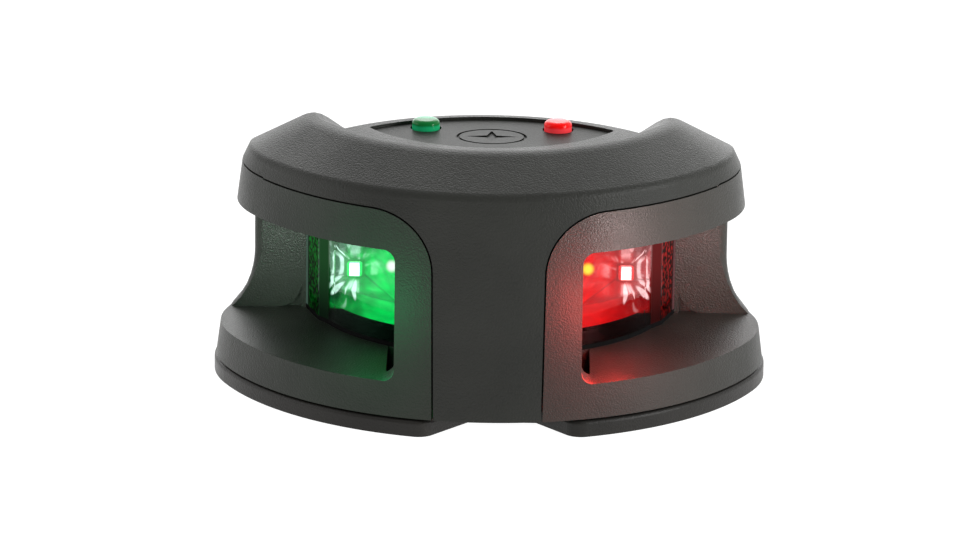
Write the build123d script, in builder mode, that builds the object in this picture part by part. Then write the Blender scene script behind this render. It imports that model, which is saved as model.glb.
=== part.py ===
from build123d import *
import os
from math import cos, radians, sin, sqrt, tan

os.makedirs("parts", exist_ok=True)

# Bi-colour bow light, millimetres. The bow is towards -Y, starboard green is on -X and port red on +X.
# The origin is on the mounting surface, at the centre of the front arcs in plan.

# ---- Base plate and pry notch ----
PLATE_R = 50.0
PLATE_SIDE_X = 48.9
PLATE_REAR = 25.0
PLATE_T = 2.8
PLATE_ROUND = 0.7
NOTCH_X = 2.6
NOTCH_HALF_MOUTH = 13.2
NOTCH_HALF_ROOT = 5.7
NOTCH_MOUTH_R = 49.0
NOTCH_ROOT_R = 40.0
NOTCH_ROUND = 3.0

# ---- Outer skin as four levels: foot, seam, shoulder and crest ----
BODY_Z = 3.1
BODY_R = 49.8
BODY_SIDE_X = 48.6
BODY_REAR = 24.6
RIM_R = 46.2
RIM_SIDE_X = 44.1
RIM_REAR = 20.8
SHOULDER_Z = 41.4
SHOULDER_R = 45.8
SHOULDER_SIDE_X = 42.9
SHOULDER_REAR = 20.4
TOP_Z = 46.3
CREST_R = 35.3
CREST_SIDE_X = 32.4
CREST_REAR = 10.8
SHOULDER_ROUND = 1.6
CREST_ROUND = 5.0
SIDE_TAPER = 0.24
STERN_BOW = 9.0
FRONT_BLEND = 26.0
REAR_BLEND = 22.0

# ---- Knees: behind each y, the cap and lip fall by a further angle ----
KNEES = ((-11.2, 15.0), (-7.5, 5.5))

# ---- Seam, lip and deck ----
SEAM_Z = 38.3
GAP = 0.3
LIP_H = 7.0
DECK_T = 2.4

# ---- Scoop behind the plateau ----
SCOOP_FRONT_Y = -11.3
SCOOP_EDGE_R = 36.1
SCOOP_DEPTH = 3.4
SCOOP_FLOOR_X = (22.4, 23.2, 23.6)
SCOOP_RIM_X = (25.2, 29.6, 31.2)
SCOOP_STEPS = 6
SCOOP_Y = (-15.5, -9.0)

# ---- Shell thicknesses ----
SKIN = 2.2
WALL = 2.4
CAP_T = 3.4

# ---- Column and windows ----
COLUMN_HALF_FOOT = 9.0
COLUMN_HALF_HEAD = 9.5
COLUMN_CORNER_R = 10.5
POST_HALF_W = 15.8
SHELF_Z = 9.0
SHELF_T = 2.2
WELL_HALF_W = 17.3
WINDOW_CORNER_R = 2.0

# ---- Waisted stern body, flat towards the bow, with a concave flare at the sides and stern ----
WAIST_HALF_W = 41.7
WAIST_FRONT = -4.2
WAIST_REAR = 17.6
WAIST_TAPER = 5.0
WAIST_FRONT_ROUND = 1.5
WAIST_REAR_ROUND = 12.0
FLARE_R = 14.2
FLARE_TOP = 19.6
FLARE_STEPS = 8
FOOT_RECESS_X = 33.1
FOOT_RECESS_R = 4.2
FOOT_RECESS_DEPTH = 1.2

# ---- Lenses and their seals ----
LENS_R = 31.3
LENS_T = 2.2
LENS_Z = 9.8
LENS_TOP = 31.2
LENS_LOW_X = 3.7
LENS_END = 64.0
FLANK = [(29.9, -11.4), (32.3, -4.2)]

# ---- Emitters, their boards, heat sink and leads ----
LED_BOARD_Y = -8.0
LED_BOARD_T = 1.6
LED_BOARD_Z = 10.2
LED_BOARD_X = (1.9, 26.6)
LED_X = {"side": 23.3, "fore": 9.0}
LED_Z = 17.6
LED_SIZE = 2.4
LED_T = 0.8
LED_ROUND = 0.3
LED_DOME_R = 0.6
DIVIDER_HALF_T = 1.6
HEAT_SINK_T = 1.6
HEAT_SINK_TOP = 28.9
FIN_X = (7.0, 14.0, 21.0)
FIN_HALF_T = 0.6
FIN_REAR = -1.2
FIN_TOP = 27.5
LEAD_R = 0.4
LEAD_X = (4.0, 6.0)

# ---- Reflectors: a drum segment with two four-sided bowls, each as low x, high x and mouth y ----
REFLECTOR_Z = 12.4
REFLECTOR_TOP = 29.6
REFLECTOR_GAP = 0.3
POCKET_FOOT_Z = 16.6
POCKET_HEAD_Z = 29.0
POCKET_THROAT = 3.2
POCKETS = {"side": (15.2, 48.0, -24.6), "fore": (3.2, 14.6, -25.6)}

# ---- Badge with its mark ----
BADGE_HALF_W = 20.9
BADGE_TIP_Y = -20.3
BADGE_FRONT_Y = -32.4
BADGE_REAR_Y = -12.7
BADGE_T = 1.2
BADGE_SINK = 0.5
BADGE_GAP = 0.15
BADGE_POINT_R = 1.0
BADGE_ROUND = 0.3
MARK_Y = -23.5
MARK_HALF_W = 6.0
MARK_HALF_D = 4.8
MARK_LINE = 0.5
MARK_DEPTH = 0.3
MARK_POINT = 0.74
MARK_WAIST = 0.2

# ---- Telltale light pipes ----
PIPE_X = 11.3
PIPE_Y = -18.4
PIPE_R = 2.375
PIPE_PROUD = 1.6
PIPE_FOOT_Z = 27.0
PIPE_ROUND = 0.8
PIPE_COLLAR_R = 3.4
PIPE_COLLAR_T = 1.2

# ---- Deck fixing screws and wire entry ----
SCREW_PITCH = 50.8
SCREW_Y = 5.0
SCREW_HOLE_R = 2.25
SCREW_WELL_R = 4.8
TOWER_R = 6.2
WIRE_Y = -18.0
WIRE_R = 2.6
GROMMET_R = 4.4
GROMMET_FLANGE_R = 5.8
GROMMET_FLANGE_T = 1.8

# ---- Gasket and housing seal ----
GASKET_INSET = 4.0
GASKET_T = 1.0
GASKET_GAP = 0.1
GASKET_HOLE_R = 6.0
GASKET_NOTCH_W = 26.0
GASKET_NOTCH_D = 14.0
GROOVE_D = 0.8
SEAL_INSET = 0.5

# ---- Case screws and cover pegs ----
CASE_SCREWS = [(30.0, -25.5), (34.5, 3.0)]
CASE_BOSS_R = 3.0
CASE_SCREW_R = 1.4
CASE_SCREW_TOP_Z = 7.6
CASE_HEAD_R = 2.6
CASE_HEAD_Z = 1.0
PEG_X = 25.0
PEG_Y = -16.0
PEG_R = 2.2
PEG_SOCKET_R = 4.2
PEG_SOCKET_H = 3.6
PEG_SOCKET_SINK = 1.0
PEG_FOOT_Z = 33.4
PEG_HEAD_Z = 42.3

# ---- Driver board and the parts on it ----
BOARD_W = 36.0
BOARD_D = 15.0
BOARD_T = 1.2
BOARD_Y = 6.4
BOARD_Z = 6.0
BOARD_SCREW_X = 15.0
BOARD_SCREW_R = 0.9
BOARD_HEAD_R = 1.8
BOARD_HEAD_T = 1.3
BOARD_POST_R = 2.6
CHIP = (5.0, 4.4, 1.5)
CHIP_Y = 5.6
CHIP_LEG = (1.2, 0.4, 0.4)
CHIP_LEG_X = 2.9
CHIP_LEG_Y = (-1.5, -0.5, 0.5, 1.5)
INDUCTOR = (6.6, 6.6, 3.6)
INDUCTOR_X = -9.0
CAPACITOR_X = 9.0
CAPACITOR_Y = (-2.8, 3.0)
CAPACITOR_R = 2.2
CAPACITOR_H = 5.0
RESISTOR = (1.2, 2.0, 0.5)
RESISTOR_X = (-2.4, 0.0, 2.4)
RESISTOR_Y = 1.4
TERMINAL = (10.0, 5.6, 5.4)
TERMINAL_Y = 11.0
TERMINAL_X = (-2.5, 2.5)
TERMINAL_MOUTH = (2.6, 4.0, 2.0)
TERMINAL_SCREW_R = 1.35
TERMINAL_SCREW_Z = (2.9, 4.9)
SLOT_W = 0.5
SOFT_EDGE = 0.4

# ---- Reach of the cutting blocks, past every surface ----
FAR = 70.0


def plan_face(z, front_r, side_x, rear_y, shrink=0.0):
    """Plan of the light at a level: round bow about the origin, sides that close in, gently bowed stern."""
    side_y = -sqrt(front_r**2 - side_x**2)
    stern_y = rear_y - STERN_BOW
    stern_x = side_x - SIDE_TAPER * (stern_y - side_y)
    with BuildSketch(Plane.XY.offset(z)) as plan:
        with BuildLine():
            ThreePointArc((-side_x, side_y), (0, -front_r), (side_x, side_y))
            Line((side_x, side_y), (stern_x, stern_y))
            ThreePointArc((stern_x, stern_y), (0, rear_y), (-stern_x, stern_y))
            Line((-stern_x, stern_y), (-side_x, side_y))
        make_face()
        fillet(plan.vertices().group_by(Axis.Y)[0], radius=FRONT_BLEND - shrink)
        fillet(plan.vertices().sort_by(Axis.Y)[-2:], radius=REAR_BLEND - shrink)
    return plan.sketch


def envelope(inset, drop):
    """Outer skin of the closed light before it falls astern, or a surface inside it by an inset and a drop."""
    levels = [
        (BODY_Z, BODY_R, BODY_SIDE_X, BODY_REAR),
        (SEAM_Z - drop, RIM_R, RIM_SIDE_X, RIM_REAR),
        (SHOULDER_Z - drop, SHOULDER_R, SHOULDER_SIDE_X, SHOULDER_REAR),
        (TOP_Z - drop, CREST_R, CREST_SIDE_X, CREST_REAR),
    ]
    with BuildPart(mode=Mode.PRIVATE) as skin:
        for low, high in zip(levels, levels[1:]):
            faces = [
                plan_face(z, front - inset, side_x - inset, rear - inset, BODY_R - front + inset)
                for z, front, side_x, rear in (low, high)
            ]
            loft(faces, ruled=True)
    return skin.part


def box_between(low, high):
    """Block between two corners."""
    size = [b - a for a, b in zip(low, high)]
    middle = [(a + b) / 2 for a, b in zip(low, high)]
    return Pos(*middle) * Box(*size, mode=Mode.PRIVATE)


def under_profile(level):
    """Everything below a surface that is level at the bow and falls behind each knee."""
    points = [(-FAR, -FAR), (-FAR, level)]
    slope, z = 0.0, level
    for (knee_y, fall), (next_y, _) in zip(KNEES, [*KNEES[1:], (FAR, 0.0)]):
        points.append((knee_y, z))
        slope += tan(radians(fall))
        z -= slope * (next_y - knee_y)
    points += [(FAR, z), (FAR, -FAR)]
    with BuildPart(mode=Mode.PRIVATE) as block:
        with BuildSketch(Plane.YZ):
            with BuildLine():
                Polyline(*points, close=True)
            make_face()
        extrude(amount=FAR, both=True)
    return block.part


def swept_back(block):
    """Lets a level block fall behind each knee by a shear, so that its plan stays the same."""
    for knee_y, fall in KNEES:
        drop = tan(radians(fall))
        shear = Matrix([[1, 0, 0, 0], [0, 1, 0, 0], [0, -drop, 1, drop * knee_y], [0, 0, 0, 1]])
        ahead = block & box_between((-FAR, -FAR, -FAR), (FAR, knee_y, FAR))
        behind = block & box_between((-FAR, knee_y, -FAR), (FAR, FAR, FAR))
        block = ahead + behind.transform_geometry(shear)
    return block


def waist_face(z, grow):
    """Plan of the stern body, grown outwards by an offset: square towards the bow, closing in astern."""
    front_y, rear_y = WAIST_FRONT - grow, WAIST_REAR + grow
    front_x = WAIST_HALF_W + grow
    rear_x = front_x - WAIST_TAPER
    with BuildSketch(Plane.XY.offset(z)) as plan:
        with BuildLine():
            Polyline((-front_x, front_y), (front_x, front_y), (rear_x, rear_y), (-rear_x, rear_y), close=True)
        make_face()
        fillet(plan.vertices().group_by(Axis.Y)[0], radius=WAIST_FRONT_ROUND + max(grow, 0.0))
        fillet(plan.vertices().group_by(Axis.Y)[-1], radius=WAIST_REAR_ROUND + grow)
    return plan.sketch


def chamber_face(z, inset):
    """Plan of the sealed chamber: lens drum, lens flanks and stern body, shrunk by an inset."""
    step_x, step_y = LENS_R * sin(radians(LENS_END)), -LENS_R * cos(radians(LENS_END))
    side = [(step_x - inset, step_y), (FLANK[0][0] - inset, FLANK[0][1]), (FLANK[1][0] - inset, FLANK[1][1])]
    side.append((FLANK[1][0] - inset, 6.0))
    with BuildSketch(Plane.XY.offset(z)) as plan:
        Circle(LENS_R - inset)
        with Locations((0, FAR / 2 + WAIST_FRONT)):
            Rectangle(2 * FAR, FAR, mode=Mode.SUBTRACT)
        with BuildLine():
            Polyline(*side, *[(-x, y) for x, y in reversed(side)], close=True)
        make_face()
        add(waist_face(0, -inset))
    return plan.sketch


def chamber_block(inset, low, high):
    """The sealed chamber's plan between two heights."""
    with BuildPart(mode=Mode.PRIVATE) as block:
        extrude(chamber_face(low, inset), amount=high - low)
    return block.part


def lens_plan(z, low_x):
    """Plan of one lens wall on +X: drum sector, step and flank, clear of the stern body."""
    with BuildSketch(Plane.XY.offset(z)) as plan:
        add(chamber_face(0, 0.0))
        add(chamber_face(0, LENS_T), mode=Mode.SUBTRACT)
        with Locations((low_x + FAR / 2, WAIST_FRONT - FAR / 2 - 0.1)):
            Rectangle(FAR, FAR, mode=Mode.INTERSECT)
    return plan.sketch


def save(piece, name):
    """Label a finished piece and write it under its own name."""
    piece.part.label = name
    export_step(piece.part, f"parts/{name}.step")


SIDES = {"green": -1, "red": 1}
ON_FLOOR = (Align.CENTER, Align.CENTER, Align.MIN)
FRONT_INSET = SKIN + GAP + WALL
LIP_Z = SEAM_Z - LIP_H
DECK_Z = LIP_Z + DECK_T
FLARE_FOOT_Z = SHELF_Z - 0.5
with BuildPart(mode=Mode.PRIVATE) as outer_skin:
    add(envelope(0.0, 0.0))
    shoulder_edges = outer_skin.edges().filter_by(lambda edge: abs(edge.center().Z - SHOULDER_Z) < 0.01)
    fillet(shoulder_edges, radius=SHOULDER_ROUND)
    fillet(outer_skin.edges().group_by(Axis.Z)[-1], radius=CREST_ROUND)
outer = outer_skin.part
front_inner = envelope(FRONT_INSET, 0.0)
lip_under = under_profile(LIP_Z)
deck_under = under_profile(DECK_Z)
below_waist = box_between((-FAR, -FAR, -FAR), (FAR, FAR, FLARE_FOOT_Z))
housing_skin = (outer & below_waist) + (swept_back(outer) - below_waist)
screw_spots = [(side * SCREW_PITCH / 2, SCREW_Y) for side in SIDES.values()]
case_screw_spots = [(side * x, y) for side in SIDES.values() for x, y in CASE_SCREWS]
pipe_spots = [(side * PIPE_X, PIPE_Y) for side in SIDES.values()]
peg_spots = [(side * PEG_X, PEG_Y) for side in SIDES.values()]
board_screw_spots = [(side * BOARD_SCREW_X, BOARD_Y) for side in SIDES.values()]


# ---- T-shaped region of the cover, seen from the bow: cap, column and rounded corners ----
def tee_region(grow):
    """Cap and front column as a block through the bow wall, grown by a clearance."""
    foot = -2.0
    head, toe, level = COLUMN_HALF_HEAD + grow, COLUMN_HALF_FOOT + grow, SEAM_Z - grow
    with BuildPart(mode=Mode.PRIVATE) as block:
        with BuildSketch(Plane.XZ.offset(25.0)) as tee:
            with BuildLine():
                Polyline(
                    (-FAR, FAR), (FAR, FAR), (FAR, level), (head, level), (toe, foot),
                    (-toe, foot), (-head, level), (-FAR, level), close=True,
                )
            make_face()
            armpits = [tee.vertices().sort_by_distance((x, level))[0] for x in (-head, head)]
            fillet(armpits, radius=COLUMN_CORNER_R - grow)
        extrude(amount=35.0)
    return block.part


# ---- Stern body ----
with BuildPart(mode=Mode.PRIVATE) as stern_body:
    flare_steps = [
        FLARE_FOOT_Z + (FLARE_TOP - FLARE_FOOT_Z) * sin(radians(90.0 * i / FLARE_STEPS))
        for i in range(FLARE_STEPS + 1)
    ]
    flare = [waist_face(z, FLARE_R - sqrt(FLARE_R**2 - (FLARE_TOP - z) ** 2)) for z in flare_steps]
    loft(flare, ruled=True)
    add(box_between((-FAR, -FAR, 0.0), (FAR, WAIST_FRONT, FAR)), mode=Mode.SUBTRACT)
    extrude(waist_face(FLARE_TOP, 0.0), amount=LIP_Z - FLARE_TOP + 1.0)

# ---- Recess beside each lens at the foot of the stern body, under a rounded corner ----
with BuildPart(mode=Mode.PRIVATE) as foot_recess:
    with BuildSketch(Plane.XZ.offset(-WAIST_FRONT - FOOT_RECESS_DEPTH)):
        with Locations([
            (side * (FOOT_RECESS_X + FOOT_RECESS_R / 2), SHELF_Z + FOOT_RECESS_R / 2) for side in SIDES.values()
        ]):
            Rectangle(FOOT_RECESS_R, FOOT_RECESS_R)
        with Locations([
            (side * (FOOT_RECESS_X + FOOT_RECESS_R), SHELF_Z + FOOT_RECESS_R) for side in SIDES.values()
        ]):
            Circle(FOOT_RECESS_R, mode=Mode.SUBTRACT)
    extrude(amount=2 * FOOT_RECESS_DEPTH)

# ---- Bow wall between the windows ----
with BuildPart(mode=Mode.PRIVATE) as bow_wall:
    window_h = LIP_Z - SHELF_Z
    with BuildSketch(Plane.XZ.offset(20.0)):
        with Locations((0, (SEAM_Z + BODY_Z) / 2)):
            Rectangle(2 * (POST_HALF_W + 8.0), SEAM_Z + BODY_Z)
        with Locations([(side * (POST_HALF_W + 20.0), SHELF_Z + window_h / 2) for side in SIDES.values()]):
            RectangleRounded(40.0, window_h, WINDOW_CORNER_R, mode=Mode.SUBTRACT)
    extrude(amount=40.0)
    add(outer, mode=Mode.INTERSECT)
    add(front_inner, mode=Mode.SUBTRACT)

# ---- Daylight around the waist and through the windows ----
with BuildPart(mode=Mode.PRIVATE) as daylight:
    add(box_between((-FAR, -FAR, SHELF_Z), (FAR, FAR, SEAM_Z)))
    add(lip_under, mode=Mode.INTERSECT)
    add(stern_body.part, mode=Mode.SUBTRACT)
    add(bow_wall.part, mode=Mode.SUBTRACT)
    add(foot_recess.part)

# ---- Screw towers, from the shelf to the deck ----
with BuildPart(mode=Mode.PRIVATE) as towers:
    with Locations([(x, y, SHELF_Z - 1.0) for x, y in screw_spots]):
        Cylinder(TOWER_R, 30.0, align=ON_FLOOR)
    add(lip_under, mode=Mode.INTERSECT)

# ---- Housing ----
with BuildPart() as housing:
    add(housing_skin)
    add(under_profile(SEAM_Z - GAP / 2), mode=Mode.INTERSECT)
    add(daylight.part, mode=Mode.SUBTRACT)
    add(chamber_block(WALL, 0.0, LIP_Z + 0.1) & lip_under, mode=Mode.SUBTRACT)
    under_shelf = envelope(WALL, 0.0) & box_between((-FAR, -FAR, 0), (FAR, FAR, SHELF_Z - SHELF_T))
    add(under_shelf - chamber_block(0.0, 0.0, SHELF_Z), mode=Mode.SUBTRACT)
    bow_well = front_inner & box_between((-WELL_HALF_W, -FAR, 0), (WELL_HALF_W, -20, LIP_Z))
    add(bow_well - chamber_block(0.0, 0.0, SHELF_Z), mode=Mode.SUBTRACT)
    add(swept_back(front_inner) - deck_under, mode=Mode.SUBTRACT)
    add(tee_region(GAP) & (outer - envelope(SKIN + GAP, 0.0)), mode=Mode.SUBTRACT)
    mullion = chamber_block(0.0, SHELF_Z, LIP_Z) - chamber_block(WALL, SHELF_Z, LIP_Z)
    add(mullion & box_between((-LENS_LOW_X + 0.1, -40, 0), (LENS_LOW_X - 0.1, -20, 40)))
    with BuildSketch(Plane.XY.offset(BODY_Z)):
        with Locations(screw_spots):
            Circle(TOWER_R)
        with Locations(case_screw_spots):
            Circle(CASE_BOSS_R)
    extrude(amount=SHELF_Z - BODY_Z)
    add(towers.part)
    with Locations([(x, y, SHELF_Z) for x, y in screw_spots]):
        Cylinder(SCREW_WELL_R, 40.0, align=ON_FLOOR, mode=Mode.SUBTRACT)
    with Locations([(x, y, 0.0) for x, y in screw_spots]):
        Cylinder(SCREW_HOLE_R, 30.0, mode=Mode.SUBTRACT)
    with Locations([(x, y, BODY_Z - 1.0) for x, y in case_screw_spots]):
        Cylinder(CASE_SCREW_R, 5.9, align=ON_FLOOR, mode=Mode.SUBTRACT)
    with Locations([(x, y, DECK_Z) for x, y in peg_spots]):
        Cylinder(PEG_SOCKET_R, PEG_SOCKET_H, align=ON_FLOOR)
    with Locations([(x, y, DECK_Z - PEG_SOCKET_SINK) for x, y in peg_spots]):
        Cylinder(PEG_R + GAP, 12.0, align=ON_FLOOR, mode=Mode.SUBTRACT)
    with Locations([(x, y, DECK_Z) for x, y in pipe_spots]):
        Cylinder(PIPE_R, 12.0, mode=Mode.SUBTRACT)
save(housing, "housing")

# ---- Cover: cap with the bow column, lifted off upwards ----
def scoop_face(z, edge_x, grow):
    """Plan of the scoop at one level: round front edge under the plateau, sides that open outwards."""
    corner_x, mid_x, side_x = (x + grow for x in edge_x)
    corner_y = SCOOP_FRONT_Y - SCOOP_EDGE_R + sqrt(SCOOP_EDGE_R**2 - corner_x**2)
    mid_y, side_y = SCOOP_Y
    with BuildSketch(Plane.XY.offset(z)) as plan:
        with BuildLine():
            ThreePointArc((-corner_x, corner_y), (0, SCOOP_FRONT_Y - grow), (corner_x, corner_y))
            Polyline(
                (corner_x, corner_y), (mid_x, mid_y), (side_x, side_y), (side_x, FAR),
                (-side_x, FAR), (-side_x, side_y), (-mid_x, mid_y), (-corner_x, corner_y),
            )
        make_face()
    return plan.sketch


def scoop_block(grow, sink):
    """Hollow behind the plateau, open at the top and astern; its sides rise from the floor in an S-curve."""
    floor_z = TOP_Z - SCOOP_DEPTH - sink
    levels = []
    for step in range(SCOOP_STEPS + 1):
        out = step / SCOOP_STEPS
        rise = SCOOP_DEPTH * out**2 * (3.0 - 2.0 * out)
        edge_x = [foot + out * (rim - foot) for foot, rim in zip(SCOOP_FLOOR_X, SCOOP_RIM_X)]
        levels.append(scoop_face(floor_z + rise, edge_x, grow))
    with BuildPart(mode=Mode.PRIVATE) as block:
        loft(levels, ruled=True)
        extrude(levels[-1], amount=10.0)
    return block.part


def badge_plan(z, grow):
    """Pointed oval with its points to the sides."""
    half_w = BADGE_HALF_W + grow
    with BuildSketch(Plane.XY.offset(z)) as plan:
        with BuildLine():
            ThreePointArc((-half_w, BADGE_TIP_Y), (0, BADGE_FRONT_Y - grow), (half_w, BADGE_TIP_Y))
            ThreePointArc((half_w, BADGE_TIP_Y), (0, BADGE_REAR_Y + grow), (-half_w, BADGE_TIP_Y))
        make_face()
        fillet(plan.vertices(), radius=BADGE_POINT_R)
    return plan.sketch


with BuildPart(mode=Mode.PRIVATE) as cover_hollow:
    add(envelope(SKIN, CAP_T))
    add(scoop_block(SKIN, SKIN), mode=Mode.SUBTRACT)
with BuildPart(mode=Mode.PRIVATE) as column:
    add(tee_region(0.0) & outer)
    add(envelope(SKIN, 0.0), mode=Mode.SUBTRACT)
with BuildPart(mode=Mode.PRIVATE) as level_cover:
    add(outer)
    add(box_between((-FAR, -FAR, -FAR), (FAR, FAR, SEAM_Z + GAP / 2)), mode=Mode.SUBTRACT)
    add(scoop_block(0.0, 0.0), mode=Mode.SUBTRACT)
    add(cover_hollow.part, mode=Mode.SUBTRACT)
    add(column.part)
    with Locations([(x, y, PEG_FOOT_Z) for x, y in peg_spots]):
        Cylinder(PEG_R, PEG_HEAD_Z - PEG_FOOT_Z, align=ON_FLOOR)
    extrude(badge_plan(TOP_Z - BADGE_SINK - BADGE_T, BADGE_GAP), amount=10.0, mode=Mode.SUBTRACT)
    with Locations([(x, y, TOP_Z) for x, y in pipe_spots]):
        Cylinder(PIPE_R + GAP, 20.0, mode=Mode.SUBTRACT)
with BuildPart() as cover:
    add(swept_back(level_cover.part))
save(cover, "cover")

# ---- Badge: pointed oval plate with a compass star in a ring ----
badge_z = TOP_Z - BADGE_SINK - BADGE_T
with BuildPart() as badge:
    extrude(badge_plan(badge_z, 0.0), amount=BADGE_T)
    fillet(badge.edges().group_by(Axis.Z)[-1], radius=BADGE_ROUND)
    with Locations([(x, y, TOP_Z) for x, y in pipe_spots]):
        Cylinder(PIPE_R + GAP, 20.0, mode=Mode.SUBTRACT)
    with BuildSketch(Plane.XY.offset(badge_z + BADGE_T - MARK_DEPTH)):
        with Locations((0, MARK_Y)):
            Ellipse(MARK_HALF_W, MARK_HALF_D)
            Ellipse(MARK_HALF_W - MARK_LINE, MARK_HALF_D - MARK_LINE, mode=Mode.SUBTRACT)
        with BuildLine():
            points = []
            for i in range(8):
                reach = MARK_POINT if i % 2 == 0 else MARK_WAIST
                angle = radians(45.0 * i)
                points.append((reach * MARK_HALF_W * cos(angle), MARK_Y + reach * MARK_HALF_D * sin(angle)))
            Polyline(*points, close=True)
        make_face()
    extrude(amount=MARK_DEPTH + 1.0, mode=Mode.SUBTRACT)
save(badge, "badge")

# ---- Base plate with the pry notch, seal groove, gasket recess and board posts ----
def notched_plan():
    """Plan of the base plate with the pry notch, its mouth corners rounded."""
    reach = 1.5
    flank_x = NOTCH_HALF_ROOT + reach * (NOTCH_HALF_MOUTH - NOTCH_HALF_ROOT)
    flank_y = -NOTCH_ROOT_R - reach * (NOTCH_MOUTH_R - NOTCH_ROOT_R)
    with BuildSketch() as plan:
        add(plan_face(0, PLATE_R, PLATE_SIDE_X, PLATE_REAR))
        with BuildLine():
            Polyline(
                (NOTCH_X - NOTCH_HALF_ROOT, -NOTCH_ROOT_R), (NOTCH_X + NOTCH_HALF_ROOT, -NOTCH_ROOT_R),
                (NOTCH_X + flank_x, flank_y), (NOTCH_X - flank_x, flank_y), close=True,
            )
        make_face(mode=Mode.SUBTRACT)
        fillet(plan.vertices().sort_by(Axis.Y)[:2], radius=NOTCH_ROUND)
    return plan.sketch


def gasket_plan(z, grow):
    """Plan of the foam gasket, clear of the notch, the fixing holes and the wire."""
    inset = GASKET_INSET - grow
    with BuildSketch(Plane.XY.offset(z)) as plan:
        add(plan_face(0, PLATE_R - inset, PLATE_SIDE_X - inset, PLATE_REAR - inset, inset))
        with Locations((NOTCH_X, -NOTCH_ROOT_R)):
            Rectangle(GASKET_NOTCH_W - 2 * grow, GASKET_NOTCH_D - 2 * grow, mode=Mode.SUBTRACT)
        with Locations([*screw_spots, (0, WIRE_Y)]):
            Circle(GASKET_HOLE_R - grow, mode=Mode.SUBTRACT)
    return plan.sketch


with BuildPart() as base_plate:
    extrude(notched_plan(), amount=PLATE_T)
    fillet(base_plate.edges().group_by(Axis.Z)[-1], radius=PLATE_ROUND)
    extrude(gasket_plan(0, GASKET_GAP), amount=GASKET_T, mode=Mode.SUBTRACT)
    add(
        chamber_block(SEAL_INSET, PLATE_T - GROOVE_D, 5.0) - chamber_block(WALL - SEAL_INSET, 0.0, 6.0),
        mode=Mode.SUBTRACT,
    )
    with Locations([(x, y, PLATE_T) for x, y in board_screw_spots]):
        Cylinder(BOARD_POST_R, BOARD_Z - PLATE_T, align=ON_FLOOR)
    with Locations([(x, y, PLATE_T - 1.0) for x, y in board_screw_spots]):
        Cylinder(BOARD_SCREW_R, 10.0, align=ON_FLOOR, mode=Mode.SUBTRACT)
    with Locations([(x, y, 0.0) for x, y in screw_spots]):
        Cylinder(SCREW_HOLE_R, 20.0, mode=Mode.SUBTRACT)
    with Locations((0, WIRE_Y, 0)):
        Cylinder(GROMMET_R, 20.0, mode=Mode.SUBTRACT)
    with Locations([(x, y, 0.0) for x, y in case_screw_spots]):
        Cylinder(CASE_SCREW_R + 0.1, 20.0, mode=Mode.SUBTRACT)
    with Locations([(x, y, CASE_HEAD_Z) for x, y in case_screw_spots]):
        Cone(CASE_HEAD_R, CASE_SCREW_R, CASE_HEAD_R - CASE_SCREW_R, align=ON_FLOOR, mode=Mode.SUBTRACT)
save(base_plate, "base_plate")

# ---- Gaskets and seals ----
with BuildPart() as deck_gasket:
    extrude(gasket_plan(0, 0.0), amount=GASKET_T)
save(deck_gasket, "deck_gasket")

with BuildPart() as housing_seal:
    add(
        chamber_block(SEAL_INSET, PLATE_T - GROOVE_D, BODY_Z)
        - chamber_block(WALL - SEAL_INSET, PLATE_T - GROOVE_D - 1.0, BODY_Z + 1.0)
    )
save(housing_seal, "housing_seal")

# ---- Lens, seal, reflector, board and emitters of each side, drawn on +X and mirrored for the other ----
with BuildPart(mode=Mode.PRIVATE) as lens_half:
    extrude(lens_plan(LENS_Z, LENS_LOW_X), amount=LENS_TOP - LENS_Z)
    add(under_profile(LENS_TOP), mode=Mode.INTERSECT)
with BuildPart(mode=Mode.PRIVATE) as lens_seal_half:
    extrude(lens_plan(SHELF_Z, LENS_LOW_X), amount=LENS_Z - SHELF_Z)


def pocket(x, mouth_low, mouth_high, mouth_y):
    """Four-sided reflector bowl from an emitter opening out to its mouth."""
    back_y = -LED_BOARD_Y
    with BuildPart(mode=Mode.PRIVATE) as bowl:
        with BuildSketch(Plane.XZ.offset(back_y)):
            with Locations((x, LED_Z)):
                Rectangle(POCKET_THROAT, POCKET_THROAT)
        with BuildSketch(Plane.XZ.offset(-mouth_y)):
            with Locations(((mouth_low + mouth_high) / 2, (POCKET_FOOT_Z + POCKET_HEAD_Z) / 2)):
                Rectangle(mouth_high - mouth_low, POCKET_HEAD_Z - POCKET_FOOT_Z)
        loft()
    return bowl.part


with BuildPart(mode=Mode.PRIVATE) as reflector_half:
    with BuildSketch(Plane.XY.offset(REFLECTOR_Z)):
        Circle(LENS_R - LENS_T - REFLECTOR_GAP)
        with Locations((LED_BOARD_X[0] + FAR / 2, LED_BOARD_Y - FAR / 2 - 0.1)):
            Rectangle(FAR, FAR, mode=Mode.INTERSECT)
    extrude(amount=REFLECTOR_TOP - REFLECTOR_Z)
    for place, x in LED_X.items():
        add(pocket(x, *POCKETS[place]), mode=Mode.SUBTRACT)
    with Locations((PIPE_X, PIPE_Y, REFLECTOR_TOP)):
        Cylinder(PIPE_R + 0.6, 2 * (REFLECTOR_TOP - PIPE_FOOT_Z), mode=Mode.SUBTRACT)
board_low = (LED_BOARD_X[0], LED_BOARD_Y, LED_BOARD_Z)
board_high = (LED_BOARD_X[1], LED_BOARD_Y + LED_BOARD_T, REFLECTOR_TOP)
with BuildPart(mode=Mode.PRIVATE) as led_board_half:
    add(box_between(board_low, board_high))
led_at = Align.CENTER, Align.MAX, Align.CENTER


def mirrored(part, side):
    """The part as drawn on +X, or its mirror image on -X."""
    return part if side > 0 else part.mirror(Plane.YZ)


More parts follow.
